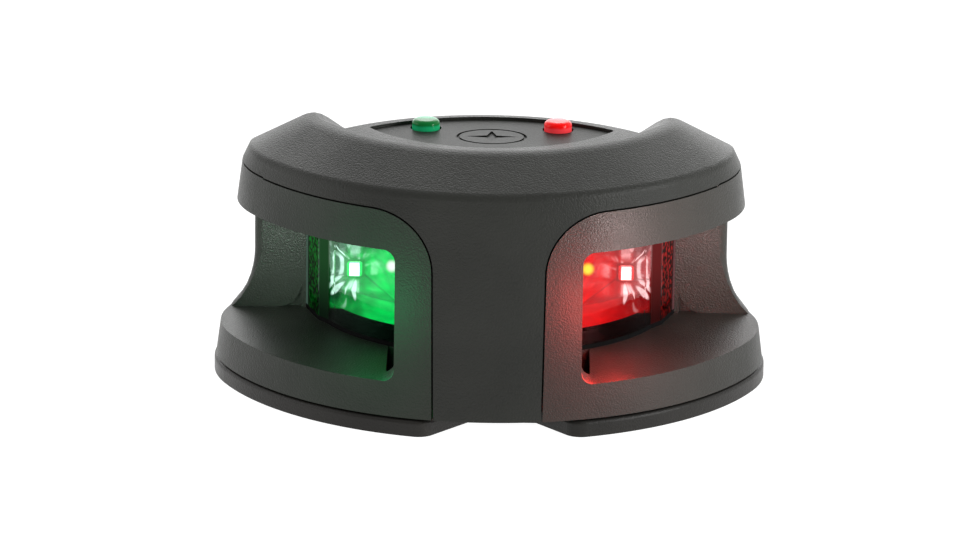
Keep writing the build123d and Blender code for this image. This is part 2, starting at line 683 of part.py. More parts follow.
for colour, side in SIDES.items():
    with BuildPart() as lens:
        add(mirrored(lens_half.part, side))
    save(lens, f"lens_{colour}")
    with BuildPart() as lens_seal:
        add(mirrored(lens_seal_half.part, side))
    save(lens_seal, f"lens_seal_{colour}")
    with BuildPart() as reflector:
        add(mirrored(reflector_half.part, side))
    save(reflector, f"reflector_{colour}")
    with BuildPart() as led_board:
        add(mirrored(led_board_half.part, side))
    save(led_board, f"led_board_{colour}")
    for place, x in LED_X.items():
        with BuildPart() as led:
            with Locations((side * x, LED_BOARD_Y, LED_Z)):
                Box(LED_SIZE, LED_T, LED_SIZE, align=led_at)
                fillet(led.edges().filter_by(Axis.Y), radius=LED_ROUND)
            with Locations((side * x, LED_BOARD_Y - LED_T, LED_Z)):
                Sphere(LED_DOME_R)
        save(led, f"led_{place}_{colour}")
    with BuildPart() as light_pipe:
        with BuildSketch(Plane.XY.offset(PIPE_FOOT_Z)):
            with Locations((side * PIPE_X, PIPE_Y)):
                Circle(PIPE_R)
        extrude(amount=TOP_Z - BADGE_SINK + PIPE_PROUD - PIPE_FOOT_Z)
        fillet(light_pipe.edges().group_by(Axis.Z)[-1], radius=PIPE_ROUND)
        with Locations((side * PIPE_X, PIPE_Y, DECK_Z)):
            Cylinder(PIPE_COLLAR_R, PIPE_COLLAR_T, align=ON_FLOOR)
    save(light_pipe, f"telltale_{colour}")

# ---- Heat sink: back plate behind both boards with a fin that parts the colours ----
with BuildPart() as heat_sink:
    sink_y = LED_BOARD_Y + LED_BOARD_T
    sink_x = LED_BOARD_X[1]
    add(box_between((-sink_x, sink_y, LED_BOARD_Z), (sink_x, sink_y + HEAT_SINK_T, HEAT_SINK_TOP)))
    add(box_between((-DIVIDER_HALF_T, -LENS_R + WALL + 0.2, LED_BOARD_Z), (DIVIDER_HALF_T, sink_y, REFLECTOR_TOP)))
    for side in SIDES.values():
        for x in FIN_X:
            fin_low = (side * x - FIN_HALF_T, sink_y + HEAT_SINK_T, LED_BOARD_Z)
            add(box_between(fin_low, (side * x + FIN_HALF_T, FIN_REAR, FIN_TOP)))
save(heat_sink, "heat_sink")

# ---- Driver board and what is soldered to it ----
with BuildPart() as driver_board:
    with BuildSketch(Plane.XY.offset(BOARD_Z)):
        with Locations((0, BOARD_Y)):
            RectangleRounded(BOARD_W, BOARD_D, 1.5)
        with Locations(board_screw_spots):
            Circle(BOARD_SCREW_R + 0.15, mode=Mode.SUBTRACT)
    extrude(amount=BOARD_T)
save(driver_board, "driver_board")
board_top = BOARD_Z + BOARD_T

with BuildPart() as driver_chip:
    with Locations((0, CHIP_Y, board_top)):
        Box(*CHIP, align=ON_FLOOR)
    chamfer(driver_chip.edges().group_by(Axis.Z)[-1], length=0.3)
    leg_spots = [(side * CHIP_LEG_X, CHIP_Y + row, board_top) for side in SIDES.values() for row in CHIP_LEG_Y]
    with Locations(leg_spots):
        Box(*CHIP_LEG, align=ON_FLOOR)
save(driver_chip, "driver_chip")

with BuildPart() as inductor:
    with Locations((INDUCTOR_X, BOARD_Y + 0.5, board_top)):
        Box(*INDUCTOR, align=ON_FLOOR)
    fillet(inductor.edges().filter_by(Axis.Z), radius=3 * SOFT_EDGE)
    fillet(inductor.edges().group_by(Axis.Z)[-1], radius=SOFT_EDGE)
save(inductor, "inductor")

with BuildPart() as capacitors:
    with Locations([(CAPACITOR_X, BOARD_Y + row, board_top) for row in CAPACITOR_Y]):
        Cylinder(CAPACITOR_R, CAPACITOR_H, align=ON_FLOOR)
    fillet(capacitors.edges().group_by(Axis.Z)[-1], radius=SOFT_EDGE)
save(capacitors, "capacitors")

with BuildPart() as resistors:
    with Locations([(x, RESISTOR_Y, board_top) for x in RESISTOR_X]):
        Box(*RESISTOR, align=ON_FLOOR)
save(resistors, "resistors")

with BuildPart() as board_screws:
    with Locations([(x, y, PLATE_T - 0.6) for x, y in board_screw_spots]):
        Cylinder(BOARD_SCREW_R, board_top - PLATE_T + 0.7, align=ON_FLOOR)
    with Locations([(x, y, board_top) for x, y in board_screw_spots]):
        Cylinder(BOARD_HEAD_R, BOARD_HEAD_T, align=ON_FLOOR)
    fillet(board_screws.edges().group_by(Axis.Z)[-1], radius=SOFT_EDGE)
    with BuildSketch(Plane.XY.offset(board_top + BOARD_HEAD_T)):
        with Locations(board_screw_spots):
            Rectangle(1.2 * BOARD_HEAD_R, SLOT_W)
            Rectangle(SLOT_W, 1.2 * BOARD_HEAD_R)
    extrude(amount=-0.7, mode=Mode.SUBTRACT)
save(board_screws, "board_screws")

# ---- Leads from the driver board up to the foot of each emitter board ----
with BuildPart() as led_leads:
    board_front = BOARD_Y - BOARD_D / 2 + 1.2
    lead_mid_z = (board_top + LED_BOARD_Z) / 2
    lead_end_y = LED_BOARD_Y + LED_BOARD_T / 2
    for x in [side * x for side in SIDES.values() for x in LEAD_X]:
        with BuildLine() as route:
            FilletPolyline(
                (x, board_front, board_top), (x, board_front, lead_mid_z),
                (x, lead_end_y, lead_mid_z), (x, lead_end_y, LED_BOARD_Z), radius=1.0,
            )
        with BuildSketch(Plane.XY.offset(board_top)):
            with Locations((x, board_front)):
                Circle(LEAD_R)
        sweep(path=route.wires()[0])
save(led_leads, "led_leads")

# ---- Terminal block and its two clamp screws ----
terminal_top = board_top + TERMINAL[2]
with BuildPart() as terminal_block:
    with Locations((0, TERMINAL_Y, board_top)):
        Box(*TERMINAL, align=ON_FLOOR)
    chamfer(terminal_block.edges().group_by(Axis.Z)[-1].filter_by(Axis.X), length=2 * SOFT_EDGE)
    with Locations([(x, TERMINAL_Y, terminal_top) for x in TERMINAL_X]):
        Cylinder(TERMINAL_SCREW_R + 0.1, TERMINAL[1], mode=Mode.SUBTRACT)
    with Locations([(x, TERMINAL_Y - TERMINAL[1] / 2, board_top + 1.7) for x in TERMINAL_X]):
        Box(*TERMINAL_MOUTH, mode=Mode.SUBTRACT)
save(terminal_block, "terminal_block")

with BuildPart() as terminal_screws:
    screw_low, screw_high = (board_top + z for z in TERMINAL_SCREW_Z)
    with Locations([(x, TERMINAL_Y, screw_low) for x in TERMINAL_X]):
        Cylinder(TERMINAL_SCREW_R, screw_high - screw_low, align=ON_FLOOR)
    with BuildSketch(Plane.XY.offset(screw_high)):
        with Locations([(x, TERMINAL_Y) for x in TERMINAL_X]):
            Rectangle(2.1 * TERMINAL_SCREW_R, SLOT_W)
    extrude(amount=-0.6, mode=Mode.SUBTRACT)
save(terminal_screws, "terminal_screws")

# ---- Case screws, from under the base plate into the housing ----
with BuildPart() as case_screws:
    with Locations([(x, y, 1.5) for x, y in case_screw_spots]):
        Cylinder(CASE_SCREW_R, CASE_SCREW_TOP_Z - 1.5, align=ON_FLOOR)
    with Locations([(x, y, CASE_HEAD_Z) for x, y in case_screw_spots]):
        Cone(CASE_HEAD_R - 0.1, CASE_SCREW_R, CASE_HEAD_R - CASE_SCREW_R, align=ON_FLOOR)
save(case_screws, "case_screws")

# ---- Cable grommet in the wire entry ----
with BuildPart() as cable_grommet:
    with Locations((0, WIRE_Y, 0.4)):
        Cylinder(GROMMET_R, PLATE_T - 0.4, align=ON_FLOOR)
    with Locations((0, WIRE_Y, PLATE_T)):
        Cylinder(GROMMET_FLANGE_R, GROMMET_FLANGE_T, align=ON_FLOOR)
    fillet(cable_grommet.edges().group_by(Axis.Z)[-1], radius=0.6)
    with Locations((0, WIRE_Y, 0)):
        Cylinder(WIRE_R, 20.0, mode=Mode.SUBTRACT)
save(cable_grommet, "cable_grommet")
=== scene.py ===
import math

import bpy
from mathutils import Matrix, Vector


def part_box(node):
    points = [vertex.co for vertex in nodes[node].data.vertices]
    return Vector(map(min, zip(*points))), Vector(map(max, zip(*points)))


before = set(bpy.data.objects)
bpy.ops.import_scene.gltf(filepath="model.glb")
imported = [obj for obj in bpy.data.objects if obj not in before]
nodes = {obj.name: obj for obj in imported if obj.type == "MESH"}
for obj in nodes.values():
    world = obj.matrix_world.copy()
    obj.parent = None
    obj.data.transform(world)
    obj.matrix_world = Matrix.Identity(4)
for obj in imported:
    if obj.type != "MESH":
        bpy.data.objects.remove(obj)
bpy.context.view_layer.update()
MM = 0.001
SIDES = {"green": -1, "red": 1}
WHITE = (1, 1, 1)
BLACK = (0, 0, 0)

# ---------------------------------------------------------------- camera
CAMERA_DISTANCE = 1.0
CAMERA_ELEVATION = 16.3
CAMERA_AZIMUTH = 0.35
CAMERA_ROLL = 0.77
CLIP_NEAR, CLIP_FAR = 0.05, 10.0
FRAME_WIDTH = 978
FOCAL_PX = 5700.0
SENSOR_WIDTH = 36.0
AIM_HEIGHT = 22 * MM
AIM_RISE_PX = 43.09
AIM_RIGHT_PX = 1.6


def add_camera():
    """Camera at the photograph's angle: the aim point sits a little above the middle of the frame."""
    elevation, azimuth = math.radians(CAMERA_ELEVATION), math.radians(CAMERA_AZIMUTH)
    aim = Vector((0, 0, AIM_HEIGHT))
    away = Vector((
        math.sin(azimuth) * math.cos(elevation),
        -math.cos(azimuth) * math.cos(elevation),
        math.sin(elevation),
    ))
    camera = bpy.data.objects.new("camera", bpy.data.cameras.new("camera"))
    bpy.context.scene.collection.objects.link(camera)
    camera.data.sensor_width = SENSOR_WIDTH
    camera.data.lens = SENSOR_WIDTH * FOCAL_PX / FRAME_WIDTH
    camera.data.clip_start, camera.data.clip_end = CLIP_NEAR, CLIP_FAR
    turn = (-away).to_track_quat("-Z", "Y").to_matrix().to_4x4()
    down = Matrix.Rotation(-math.atan(AIM_RISE_PX / FOCAL_PX), 4, "X")
    left = Matrix.Rotation(math.atan(AIM_RIGHT_PX / FOCAL_PX), 4, "Y")
    roll = Matrix.Rotation(math.radians(CAMERA_ROLL), 4, "Z")
    camera.matrix_world = Matrix.Translation(aim + away * CAMERA_DISTANCE) @ turn @ left @ down @ roll
    bpy.context.scene.camera = camera


# ---------------------------------------------------------------- node helpers
UNIT, FADE = (0.0, 1.0), (1.0, 0.0)
NOISE_RANGE = (0.3, 0.7)


def remap(tree, source, reach, out=UNIT, smooth=False):
    """Remap a value range, clamped; a reach given from high to low turns the result round."""
    made = tree.nodes.new("ShaderNodeMapRange")
    made.interpolation_type = "SMOOTHSTEP" if smooth else "LINEAR"
    for socket, number in zip(("From Min", "From Max", "To Min", "To Max"), (*reach, *out)):
        made.inputs[socket].default_value = number
    tree.links.new(source, made.inputs["Value"])
    return made.outputs["Result"]


def toned(colour, scale, lift=0.0):
    """Colour times a scale, plus a lift towards white."""
    return tuple(lift + scale * part for part in colour)


class Graph:
    """Small helper around one procedural material's nodes, in object space and metres."""

    def __init__(self, name):
        self.material = bpy.data.materials.new(name)
        self.material.use_nodes = True
        self.tree = self.material.node_tree
        self.shader = self.tree.nodes["Principled BSDF"]
        self.place = self.node("ShaderNodeTexCoord").outputs["Object"]

    def node(self, kind, **settings):
        made = self.tree.nodes.new(kind)
        for key, value in settings.items():
            setattr(made, key, value)
        return made

    def link(self, source, target):
        self.tree.links.new(source, target)

    def value(self, socket, number):
        """Put one plain number or colour on the shader's own socket."""
        self.shader.inputs[socket].default_value = number

    def noise(self, scale, detail=2.0, stretch=None, place=None):
        """Noise, 0 to 1, over the object or over another set of coordinates."""
        made = self.node("ShaderNodeTexNoise")
        made.inputs["Scale"].default_value = scale
        made.inputs["Detail"].default_value = detail
        place = self.place if place is None else place
        if stretch is not None:
            mapping = self.node("ShaderNodeMapping")
            mapping.inputs["Scale"].default_value = stretch
            self.link(place, mapping.inputs["Vector"])
            place = mapping.outputs["Vector"]
        self.link(place, made.inputs["Vector"])
        return made.outputs["Fac"]

    def cells(self, scale):
        """Distance to the nearest cell centre."""
        made = self.node("ShaderNodeTexVoronoi", feature="SMOOTH_F1")
        made.inputs["Scale"].default_value = scale
        self.link(self.place, made.inputs["Vector"])
        return made.outputs["Distance"]

    def span(self, source, reach, out=UNIT, smooth=False):
        return remap(self.tree, source, reach, out, smooth)

    def maths(self, operation, a, b=None):
        """One sum on sockets or numbers."""
        made = self.node("ShaderNodeMath", operation=operation)
        for socket, value in zip(made.inputs, (a, b)):
            if value is None:
                continue
            if isinstance(value, (int, float)):
                socket.default_value = value
            else:
                self.link(value, socket)
        return made.outputs[0]

    def times(self, a, b):
        return self.maths("MULTIPLY", a, b)

    def mix(self, factor, a, b):
        """Blend two colours, each a tuple or a socket."""
        made = self.node("ShaderNodeMix", data_type="RGBA")
        self.link(factor, made.inputs["Factor"])
        for socket, value in ((made.inputs[6], a), (made.inputs[7], b)):
            if isinstance(value, tuple):
                socket.default_value = (*value, 1)
            else:
                self.link(value, socket)
        return made.outputs[2]

    def axis(self, index):
        """One coordinate of the point."""
        made = self.node("ShaderNodeSeparateXYZ")
        self.link(self.place, made.inputs[0])
        return made.outputs[index]

    def away_from(self, value, middle):
        """How far a value is from its middle, either way."""
        return self.maths("ABSOLUTE", self.maths("SUBTRACT", value, middle))

    def distance(self, a, b, a_centre, b_centre):
        """Distance of the point (a, b) from a centre."""
        squares = [
            self.maths("POWER", self.maths("SUBTRACT", value, centre), 2.0)
            for value, centre in ((a, a_centre), (b, b_centre))
        ]
        return self.maths("SQRT", self.maths("ADD", *squares))

    def bump(self, height, distance, strength=1.0):
        made = self.node("ShaderNodeBump")
        made.inputs["Strength"].default_value = strength
        made.inputs["Distance"].default_value = distance
        self.link(height, made.inputs["Height"])
        self.link(made.outputs["Normal"], self.shader.inputs["Normal"])

    def colour(self, source):
        self.link(source, self.shader.inputs["Base Color"])

    def rough(self, source):
        self.link(source, self.shader.inputs["Roughness"])

    def glow(self, source, strength):
        """Light given off, as a socket or as one plain colour."""
        if isinstance(source, tuple):
            self.value("Emission Color", (*source, 1))
        else:
            self.link(source, self.shader.inputs["Emission Color"])
        self.value("Emission Strength", strength)


# ---------------------------------------------------------------- studio
TENT_FRONT, TENT_BACK = 0.31, 1.0
TENT_FADE = (-0.7, 0.5)
FLOOR_HALF = 6.0
FLOOR_COLOUR = (0.15, 0.15, 0.15)
FLOOR_ROUGHNESS = 0.9
FLOOR_GLOW = 1.0
# name: place, target and side in metres, power in watts
SOFT_LIGHTS = {
    "key": ((0.64, -0.3, 0.32), (0.02, 0, 0.02), 0.08, 2.3),
    "key_low": ((0.72, -0.42, 0.07), (0.02, -0.02, 0.03), 0.06, 1.2),
    "side_left": ((-0.8, -0.1, 0.3), (0, 0, 0.03), 0.4, 0.7),
    "rear": ((0.0, 0.8, 0.4), (0, 0, 0.04), 0.9, 4.2),
}
# name: place on the red side, radius and, for a spot, its target, all in millimetres
SPILL_LAMPS = {
    "foot": ((17.6, -44.0, 10.5), 0.8, None),
    "lip": ((44.0, -59.0, 31.0), 1.2, None),
    "out": ((22.0, -55.0, 22.0), 5.0, None),
    "in": ((22.0, -34.0, 17.0), 2.0, None),
    "side": ((37.0, -31.0, 20.0), 3.0, (39.0, -4.0, 19.0)),
}
GREEN_SPILL, GREEN_FLANK = (0.02, 1.0, 0.3), (0.8, 1.0, 0.85)
RED_SPILL, RED_FLANK, RED_LIP = (1.0, 0.04, 0.03), (1.0, 0.75, 0.72), (1.0, 0.78, 0.76)
# power in watts and colour of each spill lamp
SPILL_LIGHT = {
    "green": {
        "foot": (0.00008, GREEN_SPILL),
        "lip": (0.004, GREEN_SPILL),
        "out": (0.006, GREEN_SPILL),
        "in": (0.0005, GREEN_SPILL),
        "side": (0.024, GREEN_FLANK),
    },
    "red": {
        "foot": (0.0007, RED_SPILL),
        "lip": (0.05, RED_LIP),
        "out": (0.028, RED_SPILL),
        "in": (0.009, RED_SPILL),
        "side": (0.02, RED_FLANK),
    },
}
SPOT_ANGLE = 80.0
SPOT_BLEND = 1.0


def point_at(holder, place, target):
    """Turn a light from its place towards a target."""
    holder.rotation_euler = (Vector(target) - Vector(place)).to_track_quat("-Z", "Y").to_euler()


def add_soft_light(name, place, target, size, power):
    """Soft square light pointed at a target."""
    lamp = bpy.data.lights.new(name, "AREA")
    lamp.shape = "SQUARE"
    lamp.size, lamp.energy = size, power
    holder = bpy.data.objects.new(name, lamp)
    holder.visible_camera = False
    holder.location = place
    point_at(holder, place, target)
    bpy.context.scene.collection.objects.link(holder)


def add_spill(name, place, radius, target, power, colour, lit):
    """Small lamp for the coloured light that leaves a window: a point, or a spot where it has a target."""
    lamp = bpy.data.lights.new(name, "POINT" if target is None else "SPOT")
    lamp.shadow_soft_size, lamp.energy, lamp.color = radius * MM, power, colour
    holder = bpy.data.objects.new(name, lamp)
    holder.location = Vector(place) * MM
    if target is not None:
        lamp.spot_size, lamp.spot_blend = math.radians(SPOT_ANGLE), SPOT_BLEND
        point_at(holder, place, target)
    holder.visible_camera = False
    holder.visible_transmission = False
    bpy.context.scene.collection.objects.link(holder)
    holder.light_linking.receiver_collection = lit


def mirrored(place, side):
    """A red-side place moved to the given side."""
    return None if place is None else (side * place[0], *place[1:])


def add_window_spill():
    """Coloured light beside both windows, which only the housing receives."""
    lit = bpy.data.collections.new("lit_by_windows")
    lit.objects.link(nodes["housing"])
    for colour, side in SIDES.items():
        for lamp, (place, radius, target) in SPILL_LAMPS.items():
            name = f"spill_{lamp}_{colour}"
            power, tint = SPILL_LIGHT[colour][lamp]
            add_spill(name, mirrored(place, side), radius, mirrored(target, side), power, tint, lit)


def light_tent(world):
    """White tent that is dimmer on the bow side, where the camera stands, and brighter astern."""
    tree = world.node_tree
    place = tree.nodes.new("ShaderNodeTexCoord").outputs["Generated"]
    parts = tree.nodes.new("ShaderNodeSeparateXYZ")
    tree.links.new(place, parts.inputs[0])
    strength = remap(tree, parts.outputs[1], TENT_FADE, (TENT_FRONT, TENT_BACK), smooth=True)
    tree.links.new(strength, tree.nodes["Background"].inputs["Strength"])
    tree.nodes["Background"].inputs["Color"].default_value = (*WHITE, 1)


def add_floor():
    """White paper floor that glows, so that it stays pale under the soft lights."""
    mesh = bpy.data.meshes.new("floor")
    h = FLOOR_HALF
    mesh.from_pydata([(-h, -h, 0), (h, -h, 0), (h, h, 0), (-h, h, 0)], [], [(0, 1, 2, 3)])
    floor = bpy.data.objects.new("floor", mesh)
    bpy.context.scene.collection.objects.link(floor)
    paper = Graph("floor_paper")
    paper.value("Base Color", (*FLOOR_COLOUR, 1))
    paper.value("Roughness", FLOOR_ROUGHNESS)
    paper.glow(WHITE, FLOOR_GLOW)
    mesh.materials.append(paper.material)


def add_studio():
    """White surroundings and floor, two keys on the red side, fill on the green side, light from astern."""
    scene = bpy.context.scene
    scene.view_settings.view_transform = "Standard"
    world = bpy.data.worlds.new("studio")
    world.use_nodes = True
    light_tent(world)
    scene.world = world
    add_floor()
    for name, settings in SOFT_LIGHTS.items():
        add_soft_light(name, *settings)
    add_window_spill()


# ---------------------------------------------------------------- window colours
# most of these colours are painted light of the emitters: the lens tint and the glow of lens, reflector,
# telltale and board; a painted hot spot gives off more than white, so its parts go over 1
LOOKS = {
    "green": {
        "deep": (0.0, 0.07, 0.018),
        "bright": (0.0, 0.9, 0.14),
        "pale": (0.35, 0.62, 0.5),
        "lens": (0.62, 1.0, 0.82),
        "lens_gloss": (0.0, 1.0, 0.4),
        "stipple": (0.0, 0.16, 0.01),
        "facet": (0.02, 0.15, 0.07),
        "hot_spot": (1.8, 1.2, 1.4),
        "jewel_band": (0.0, 0.12, 0.02),
        "jewel_foot": (0.01, 0.32, 0.12),
        "jewel_crown": (0.1, 0.5, 0.27),
    },
    "red": {
        "deep": (0.3, 0.0, 0.004),
        "bright": (1.0, 0.008, 0.01),
        "pale": (0.8, 0.32, 0.35),
        "lens": (1.0, 0.62, 0.62),
        "lens_gloss": (1.0, 0.05, 0.05),
        "stipple": (0.42, 0.008, 0.008),
        "facet": (0.6, 0.05, 0.07),
        "hot_spot": (1.3, 1.7, 0.1),
        "jewel_band": (0.85, 0.0, 0.0),
        "jewel_foot": (0.9, 0.05, 0.06),
        "jewel_crown": (0.95, 0.22, 0.25),
    },
}

# ---------------------------------------------------------------- case
# material: dark tone, light tone, grain scale, bump depth, roughness range, gloss and its nodes
CASE_FINISHES = {
    "black_case_grain": (
        (0.02, 0.0208, 0.0182), (0.031, 0.032, 0.028), 3500.0, 0.00007, (0.3, 0.5), 0.22,
        ("housing", "cover"),
    ),
    "plate_grain": (
        (0.014, 0.013, 0.0115), (0.022, 0.0205, 0.018), 3500.0, 0.00005, (0.3, 0.42), 0.22,
        ("base_plate",),
    ),
    "badge_grain": (
        (0.012, 0.013, 0.011), (0.02, 0.021, 0.018), 4200.0, 0.00003, (0.36, 0.46), 0.1,
        ("badge",),
    ),
}
FINE_GRAIN, FINE_HEIGHT = 2.1, 0.5
MOTTLE_SCALE = 60.0
PEBBLE_SIZE, PEBBLE_TONE = (0.15, 0.75), (0.6, 1.0)
PLASTIC_IOR = 1.5


def moulded_plastic(name, dark, light, grain, depth, rough, gloss):
    """Spark-eroded black moulding: pebble grain, slight colour mottling, roughness that varies with both."""
    g = Graph(name)
    pebbles = g.cells(grain)
    fine = g.noise(grain * FINE_GRAIN, 1.0)
    g.bump(g.maths("ADD", g.times(pebbles, -1.0), g.times(fine, FINE_HEIGHT)), depth)
    broad = g.noise(MOTTLE_SCALE, 4.0)
    speckle = g.span(pebbles, PEBBLE_SIZE, PEBBLE_TONE)
    g.colour(g.mix(g.times(g.span(broad, NOISE_RANGE), speckle), light, dark))
    mean = g.maths("ADD", g.times(broad, 0.5), g.times(fine, 0.5))
    g.rough(g.span(mean, NOISE_RANGE, rough))
    g.value("IOR", PLASTIC_IOR)
    g.value("Specular IOR Level", gloss)
    return g.material


# ---------------------------------------------------------------- lens
# X is measured outboard from the middle of the lamp and Z upward, in metres
LENS_RIB_X = (0.0274, 0.0279)
LENS_STEP_X = (0.0279, 0.0281)
STIPPLE_IN_X, STIPPLE_OUT_X = (0.0296, 0.0298), (0.0316, 0.0318)
LENS_EDGE_X = (0.03185, 0.03195)
LENS_FOOT_Z = (0.0118, 0.0126)
STRIP_Z = (0.011, 0.02)
STIPPLE_Z, STIPPLE_FADE = (0.010, 0.027), (0.25, 1.0)
STIPPLE_SCALE, STIPPLE_DOT = 1500.0, (0.25, 0.5)
RIB_TONE, STRIP_GLOW_TONE, EDGE_GLOW_TONE = 0.06, 0.2, 0.12
FOOT_SHADE = 0.85
FLOW_SCALE, FLOW_STRETCH = 240.0, (1, 1, 0.3)
FLOW_DEPTH, FLOW_STRENGTH = 0.00003, 0.4
LENS_ROUGHNESS, STEP_ROUGHNESS = (0.02, 0.06), 0.5
LENS_IOR = 1.49
LENS_GLOSS, GLOSS_TINT, GLOSS_LIFT = 0.2, 0.6, 0.15


def clear_plastic(name, look, side):
    """Clear acrylic with faint flow lines and a dark foot, tinted, gloss included, in the window's colour as
    painted coloured light.
    Its flank has a dark rib, an opaque step with a faint painted glow, a stippled band whose dots give off
    painted glow and a pale edge of painted glow."""
    g = Graph(name)
    flow = g.noise(FLOW_SCALE, stretch=FLOW_STRETCH)
    g.bump(flow, FLOW_DEPTH, FLOW_STRENGTH)
    across = g.times(g.axis(0), float(side))
    foot = g.span(g.axis(2), LENS_FOOT_Z, FADE)
    shade = g.maths("MAXIMUM", g.span(across, LENS_RIB_X, smooth=True), g.times(foot, FOOT_SHADE))
    # the clear lens is tinted in the window's colour, painted coloured light, and near black over the rib
    # and foot
    g.colour(g.mix(shade, look["lens"], toned(look["stipple"], RIB_TONE)))
    # dots of painted glow in the stippled band
    dots = g.span(g.cells(STIPPLE_SCALE), STIPPLE_DOT, FADE)
    band = g.times(g.span(across, STIPPLE_IN_X), g.span(across, STIPPLE_OUT_X, FADE))
    patchy = g.times(dots, g.span(g.axis(2), STIPPLE_Z, STIPPLE_FADE))
    painted_stipple_glow = g.mix(g.times(band, patchy), BLACK, look["stipple"])
    # faint painted glow along the strip over the rib and step
    lit_strip = g.times(g.span(across, LENS_RIB_X), g.span(g.axis(2), STRIP_Z))
    strip = g.mix(lit_strip, BLACK, toned(look["stipple"], STRIP_GLOW_TONE))
    flank = g.mix(g.span(across, STIPPLE_IN_X), strip, painted_stipple_glow)
    # pale edge of painted glow; all of the flank's glow is painted light of the emitter
    g.glow(g.mix(g.span(across, LENS_EDGE_X), flank, toned(look["pale"], EDGE_GLOW_TONE)), 1.0)
    step = g.times(g.span(across, LENS_STEP_X), g.span(across, STIPPLE_IN_X, FADE))
    g.rough(g.maths("ADD", g.span(flow, NOISE_RANGE, LENS_ROUGHNESS), g.times(step, STEP_ROUGHNESS)))
    g.link(g.span(step, UNIT, FADE), g.shader.inputs["Transmission Weight"])
    g.value("IOR", LENS_IOR)
    g.value("Specular IOR Level", LENS_GLOSS)
    # gloss tinted in the window's colour, painted coloured light
    g.value("Specular Tint", (*toned(look["lens_gloss"], GLOSS_TINT, GLOSS_LIFT), 1))
    return g.material


# ---------------------------------------------------------------- reflector
# lengths are in metres, outboard ("across") and upward ("rise") from the middle of the side emitter
LEAN = 0.29
CREASE_CENTRE, CREASE_R = (0.0087, 0.0011), 0.0067
CREASE_HALF_T = (0.00016, 0.0004)
CREASE_FOOT, CREASE_TOP = (-0.0048, -0.003), (0.0036, 0.0024)
FACET_REACH, FACET_INNER = (CREASE_R + 0.0001, CREASE_R - 0.0003), (0.0034, 0.0046)
LINE_PITCH, LINE_WAVE, LINE_RISE = 6500.0, (0.6, 0.95), (0.0012, 0.0035)
# streaks of light as angle from outboard in degrees, start, end and half width
LEAVES = (
    (-100.0, 0.0014, 0.0056, 0.00042),
    (-79.0, 0.0020, 0.0046, 0.00015),
    (-56.0, 0.0022, 0.0056, 0.00055),
    (63.0, 0.0024, 0.0054, 0.00014),
)
LEAF_EDGE = (0.35, 1.0)
PETAL_SCALE, PETAL_TWIST, PETAL_TONE = 3.1, 90.0, (0.35, 0.6)
PETAL_PEAK, PETAL_LIGHT = (0.6, 0.68), (0.0, 0.5)
PETAL_START, PETAL_END, PETAL_ACROSS = (0.0012, 0.0022), (0.0085, 0.005), (-0.0035, -0.0005)
BRIGHT_ACROSS = (0.001, -0.0055)
ROOF_RISE, ROOF_ACROSS, ROOF_SHADE = (0.0022, 0.0045), (-0.0062, -0.0035), 0.8
HOT_SPOT, HOT_SPOT_R = (-0.0069, 0.0010), (0.0004, 0.0014)
RIM_ACROSS = (0.0041, 0.0044)
SHELF_LINE_Z, SHELF_LINE_HALF_T, SHELF_LINE_LIGHT = 0.0165, (0.00008, 0.0002), (0.45, 1.0)
RIPPLE_SCALE, RIPPLE_STRETCH = 420.0, (1.0, 0.5, 2.2)
RIPPLE_WAVE, RIPPLE_SHADE = (0.35, 0.65), (0.0, 0.35)
RIPPLE_DEPTH, RIPPLE_STRENGTH = 0.0001, 0.6
INNER_TONE, LINE_TONE, SHADE_TONE, DARK_TONE = 0.45, 1.3, 0.6, 0.5
GLINT_TINT, GLINT_LIFT = 0.3, 1.3
PLATING_ACROSS, PLATING_INNER, PLATING_OUTER = (0.001, 0.004), 0.08, 0.12
PLATING_GLOW = 0.85
PLATING_METALLIC, PLATING_GLOSS, PLATING_ROUGHNESS = 0.1, 0.12, (0.1, 0.25)


def leaf_of_light(g, across, rise, angle, start, end, half_w):
    """Streak along a ray from the emitter, widest in its middle and pointed at both ends."""
    c, s = math.cos(math.radians(angle)), math.sin(math.radians(angle))
    along = g.maths("ADD", g.times(across, c), g.times(rise, s))
    off = g.maths("SUBTRACT", g.times(rise, c), g.times(across, s))
    middle, reach = (start + end) / 2, (end - start) / 2
    squares = [
        g.maths("POWER", g.maths("DIVIDE", value, size), 2.0)
        for value, size in ((g.maths("SUBTRACT", along, middle), reach), (off, half_w))
    ]
    return g.span(g.maths("ADD", *squares), LEAF_EDGE, FADE, smooth=True)


def petals_of_light(g, across, rise):
    """Noise that fans out from the emitter: its own value, and soft streaks made from its peaks."""
    reach = g.distance(across, rise, 0.0, 0.0)
    fan = g.node("ShaderNodeCombineXYZ")
    ways = (g.maths("DIVIDE", across, reach), g.maths("DIVIDE", rise, reach), g.times(reach, PETAL_TWIST))
    for socket, value in zip(fan.inputs, ways):
        g.link(value, socket)
    petal = g.noise(PETAL_SCALE, 1.0, place=fan.outputs[0])
    ring = g.times(g.span(reach, PETAL_START), g.span(reach, PETAL_END))
    streak = g.times(g.span(petal, PETAL_PEAK, PETAL_LIGHT, smooth=True), ring)
    return petal, g.times(streak, g.span(across, PETAL_ACROSS))


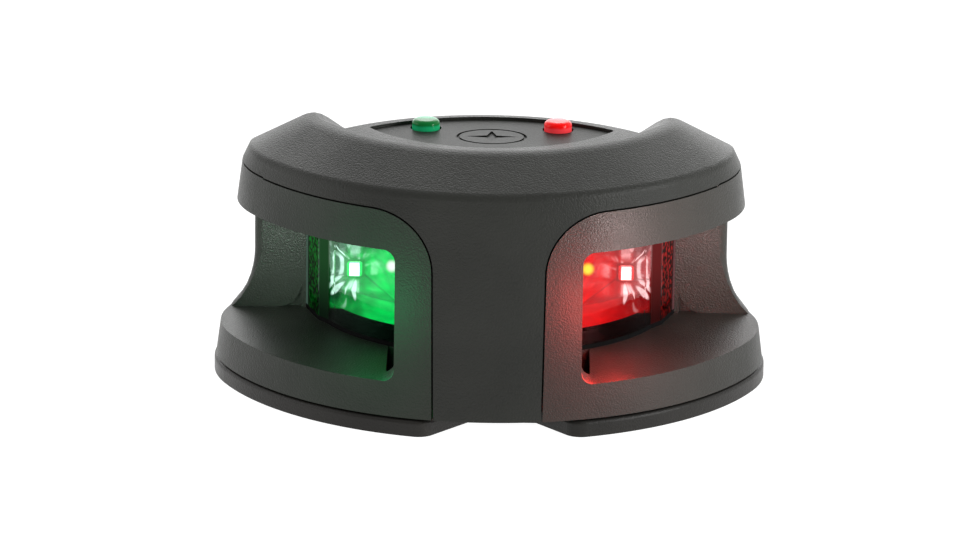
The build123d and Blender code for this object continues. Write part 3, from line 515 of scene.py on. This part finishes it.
def plated_with_painted_light(name, look, side):
    """Plated bowl whose glow is painted light of its emitter: bright inboard with a painted hot spot,
    painted streaks round the emitter, a painted highlight along a curved crease outboard of it with painted
    reflections on a lined facet beyond, painted shade under the roof, and darker along the shelf line, in
    ripples and outboard of the rim."""
    g = Graph(name)
    deep, bright, pale = look["deep"], look["bright"], look["pale"]
    low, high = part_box("led_side_green")
    emitter = (low + high) / 2
    # the green emitter's x is negative, so adding it measures from the emitter on either side
    across = g.maths("ADD", g.times(g.axis(0), float(side)), emitter.x)
    ahead = g.maths("SUBTRACT", g.axis(1), low.y)
    rise = g.maths("ADD", g.maths("SUBTRACT", g.axis(2), emitter.z), g.times(ahead, LEAN))
    # painted streaks of the emitter's light, given off as glow
    petal, streak = petals_of_light(g, across, rise)
    for leaf in LEAVES:
        streak = g.maths("MAXIMUM", streak, leaf_of_light(g, across, rise, *leaf))
    # painted highlight along a curved crease
    crease_at = g.distance(across, rise, *CREASE_CENTRE)
    crease_run = g.times(g.span(rise, CREASE_FOOT), g.span(rise, CREASE_TOP))
    crease = g.times(g.span(g.away_from(crease_at, CREASE_R), CREASE_HALF_T, FADE, smooth=True), crease_run)

    # painted glow of the bowl, deep to bright and brightest inboard
    inner = g.mix(g.span(petal, PETAL_TONE), deep, toned(bright, INNER_TONE))
    body = g.mix(g.span(across, BRIGHT_ACROSS, smooth=True), inner, bright)
    # painted shade under the roof of the bowl
    roof = g.times(g.span(rise, ROOF_RISE, smooth=True), g.span(across, ROOF_ACROSS))
    body = g.mix(g.times(roof, ROOF_SHADE), body, toned(deep, DARK_TONE))
    # painted reflections: bright lines on the facet outboard of the crease
    lines = g.times(g.span(g.maths("SINE", g.times(rise, LINE_PITCH)), LINE_WAVE), g.span(rise, LINE_RISE))
    facet = g.mix(lines, toned(look["facet"], LINE_TONE), pale)
    facet = g.mix(g.span(across, FACET_INNER), look["facet"], facet)
    body = g.mix(g.span(crease_at, FACET_REACH, smooth=True), body, facet)

    ripple = g.noise(RIPPLE_SCALE, 3.0, RIPPLE_STRETCH)
    # painted streaks and crease highlight, then darker along the shelf line, in ripples and outboard of the
    # rim
    light = g.mix(g.maths("MAXIMUM", streak, crease), body, toned(pale, GLINT_TINT, GLINT_LIFT))
    seam = g.span(g.away_from(g.axis(2), SHELF_LINE_Z), SHELF_LINE_HALF_T, SHELF_LINE_LIGHT)
    light = g.mix(seam, toned(deep, SHADE_TONE), light)
    light = g.mix(g.span(ripple, RIPPLE_WAVE, RIPPLE_SHADE), light, toned(deep, SHADE_TONE))
    light = g.mix(g.span(across, RIM_ACROSS), light, toned(deep, DARK_TONE))
    # painted hot spot, brighter than white
    hot = g.span(g.distance(across, rise, *HOT_SPOT), HOT_SPOT_R, FADE, smooth=True)
    g.glow(g.mix(hot, light, look["hot_spot"]), PLATING_GLOW)
    g.colour(g.mix(g.span(across, PLATING_ACROSS), toned(bright, PLATING_INNER), toned(pale, PLATING_OUTER)))
    g.value("Metallic", PLATING_METALLIC)
    g.value("Specular IOR Level", PLATING_GLOSS)
    g.rough(g.span(ripple, NOISE_RANGE, PLATING_ROUGHNESS))
    g.bump(ripple, RIPPLE_DEPTH, RIPPLE_STRENGTH)
    return g.material


# ---------------------------------------------------------------- telltale and emitter
BAND_DEPTH = (0.0008, 0.0013)
CROWN_HIGHLIGHT_DEPTH, CROWN_HIGHLIGHT_ASTERN = (0.00015, 0.0006), (-0.0002, 0.0012)
SWIRL_SCALE, SWIRL_DEPTH = 900.0, 0.0004
JEWEL_RIM_BLEND, JEWEL_RIM_FACING, JEWEL_RIM_LIGHT = 0.35, (0.5, 0.98), (0.0, 0.45)
JEWEL_GLOW, JEWEL_GLOSS = 0.3, 0.2
JEWEL_GRAIN, JEWEL_ROUGHNESS = 1500.0, (0.12, 0.25)
DIE_HALF_W, DIE_HALF_H = 0.00076, 0.0011
DIE_EDGE = (1.0, 1.12)
PHOSPHOR_SCALE, PHOSPHOR_RANGE, PHOSPHOR_TINT = 5200.0, (0.2, 0.8), 0.5
PACKAGE_TONE, PACKAGE_GLOW = 0.1, 0.4
EMITTER_GLOW, EMITTER_ROUGHNESS = 3.0, (0.3, 0.5)


def jewel(name, look, node):
    """Translucent light pipe whose colour and glow are painted light: a pale painted highlight on its crown
    astern, a deep band under it, a brighter foot and a painted sheen where its surface turns away.
    """
    g = Graph(name)
    low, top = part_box(node)
    astern = g.maths("SUBTRACT", g.axis(1), (low.y + top.y) / 2)
    below = g.maths("SUBTRACT", top.z, g.axis(2))
    depth = g.maths("ADD", below, g.times(g.noise(SWIRL_SCALE), SWIRL_DEPTH))
    body = g.mix(g.span(depth, BAND_DEPTH, smooth=True), look["jewel_band"], look["jewel_foot"])
    # painted highlight on the crown, astern only
    crown_highlight = g.times(g.span(depth, CROWN_HIGHLIGHT_DEPTH, FADE, smooth=True), g.span(astern, CROWN_HIGHLIGHT_ASTERN))
    crown = g.mix(crown_highlight, body, look["jewel_crown"])
    # painted sheen: paler where the surface turns away
    rim = g.node("ShaderNodeLayerWeight")
    rim.inputs["Blend"].default_value = JEWEL_RIM_BLEND
    facing = g.span(rim.outputs["Facing"], JEWEL_RIM_FACING, JEWEL_RIM_LIGHT)
    g.colour(g.mix(facing, crown, look["jewel_crown"]))
    # painted glow of the light pipe
    g.glow(crown, JEWEL_GLOW)
    g.rough(g.span(g.noise(JEWEL_GRAIN), NOISE_RANGE, JEWEL_ROUGHNESS))
    g.value("Specular IOR Level", JEWEL_GLOSS)
    return g.material


def emitter_face(name, look, node):
    """White-hot die with a phosphor grain, in a package that glows in the window's colour."""
    g = Graph(name)
    low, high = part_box(node)
    middle = (low + high) / 2
    off_x = g.maths("DIVIDE", g.away_from(g.axis(0), middle.x), DIE_HALF_W)
    off_z = g.maths("DIVIDE", g.away_from(g.axis(2), middle.z), DIE_HALF_H)
    die = g.span(g.maths("MAXIMUM", off_x, off_z), DIE_EDGE, FADE)
    phosphor = g.cells(PHOSPHOR_SCALE)
    tinted = toned(look["pale"], PHOSPHOR_TINT, 1 - PHOSPHOR_TINT)
    white = g.mix(g.span(phosphor, PHOSPHOR_RANGE), WHITE, tinted)
    g.colour(g.mix(die, toned(look["bright"], PACKAGE_TONE), white))
    g.glow(g.mix(die, toned(look["bright"], PACKAGE_GLOW), white), EMITTER_GLOW)
    g.rough(g.span(phosphor, UNIT, EMITTER_ROUGHNESS))
    return g.material


# ---------------------------------------------------------------- inner pieces
# material: dark tone, light tone, noise scale, bump depth, roughness, metallic, gloss and its nodes
INNER_FINISHES = {
    "seal_rubber_grain": (
        (0.003, 0.003, 0.003), (0.008, 0.008, 0.008), 2600.0, 0.00003, 0.8, 0.0, 0.1,
        ("lens_seal_green", "lens_seal_red", "housing_seal", "cable_grommet"),
    ),
    "gasket_foam_cells": (
        (0.02, 0.02, 0.022), (0.06, 0.06, 0.065), 3400.0, 0.00015, 0.9, 0.0, 0.5,
        ("deck_gasket",),
    ),
    "sink_aluminium": (
        (0.5, 0.5, 0.52), (0.7, 0.7, 0.72), 1500.0, 0.00002, 0.35, 1.0, 0.5,
        ("heat_sink",),
    ),
    "screw_steel_brushed": (
        (0.45, 0.45, 0.44), (0.7, 0.7, 0.68), 2200.0, 0.00001, 0.28, 1.0, 0.5,
        ("board_screws", "case_screws", "terminal_screws", "led_leads", "capacitors"),
    ),
    "circuit_board_mask": (
        (0.005, 0.09, 0.03), (0.01, 0.16, 0.05), 1200.0, 0.00002, 0.35, 0.0, 0.5,
        ("driver_board",),
    ),
    "black_epoxy_grain": (
        (0.01, 0.01, 0.01), (0.03, 0.03, 0.03), 3000.0, 0.00002, 0.5, 0.0, 0.5,
        ("driver_chip", "inductor", "resistors"),
    ),
    "terminal_plastic_grain": (
        (0.02, 0.12, 0.04), (0.04, 0.2, 0.07), 2500.0, 0.00002, 0.45, 0.0, 0.5,
        ("terminal_block",),
    ),
}
ROUGHNESS_SPREAD, LEAST_ROUGHNESS = 0.08, 0.02
# tint and faint glow of the board behind an emitter: painted light of the emitter
MASK_DARK, MASK_LIGHT, MASK_GLOW = 0.1, 0.2, 0.25
MASK_GRAIN, MASK_DEPTH, MASK_ROUGHNESS, MASK_GLOSS = 900.0, 0.00002, 0.4, 0.1


def plain_moulding(name, dark, light, grain, depth, rough, metallic, gloss, glow=None):
    """Everyday material of an inner piece: two-tone noise, fine surface and varied roughness."""
    g = Graph(name)
    tone = g.noise(grain, 3.0)
    g.colour(g.mix(g.span(tone, NOISE_RANGE), dark, light))
    spread = (max(rough - ROUGHNESS_SPREAD, LEAST_ROUGHNESS), rough + ROUGHNESS_SPREAD)
    g.rough(g.span(tone, NOISE_RANGE, spread))
    g.bump(tone, depth)
    g.value("Metallic", metallic)
    g.value("Specular IOR Level", gloss)
    if glow is not None:
        g.glow(glow, 1.0)
    return g.material


def lit_board(name, look):
    """Solder mask of the board behind an emitter, tinted and glowing faintly in the window's colour: painted
    light of the emitter.
    """
    dark, light, glow = (toned(look["bright"], scale) for scale in (MASK_DARK, MASK_LIGHT, MASK_GLOW))
    return plain_moulding(name, dark, light, MASK_GRAIN, MASK_DEPTH, MASK_ROUGHNESS, 0.0, MASK_GLOSS, glow)


def give(names, material):
    """Put one material on CAD nodes."""
    for name in names:
        slots = nodes[name].data.materials
        slots.clear()
        slots.append(material)


# ---------------------------------------------------------------- a material for every node
for name, (*finish, names) in CASE_FINISHES.items():
    give(names, moulded_plastic(name, *finish))
for colour, side in SIDES.items():
    look = LOOKS[colour]
    give([f"lens_{colour}"], clear_plastic(f"clear_lens_{colour}", look, side))
    give([f"reflector_{colour}"], plated_with_painted_light(f"plating_and_painted_light_{colour}", look, side))
    for place in ("side", "fore"):
        node = f"led_{place}_{colour}"
        give([node], emitter_face(f"emitter_{place}_{colour}", look, node))
    telltale = f"telltale_{colour}"
    give([telltale], jewel(f"jewel_{colour}", look, telltale))
    give([f"led_board_{colour}"], lit_board(f"solder_mask_painted_glow_{colour}", look))
for name, (*finish, names) in INNER_FINISHES.items():
    give(names, plain_moulding(name, *finish))

add_camera()
add_studio()
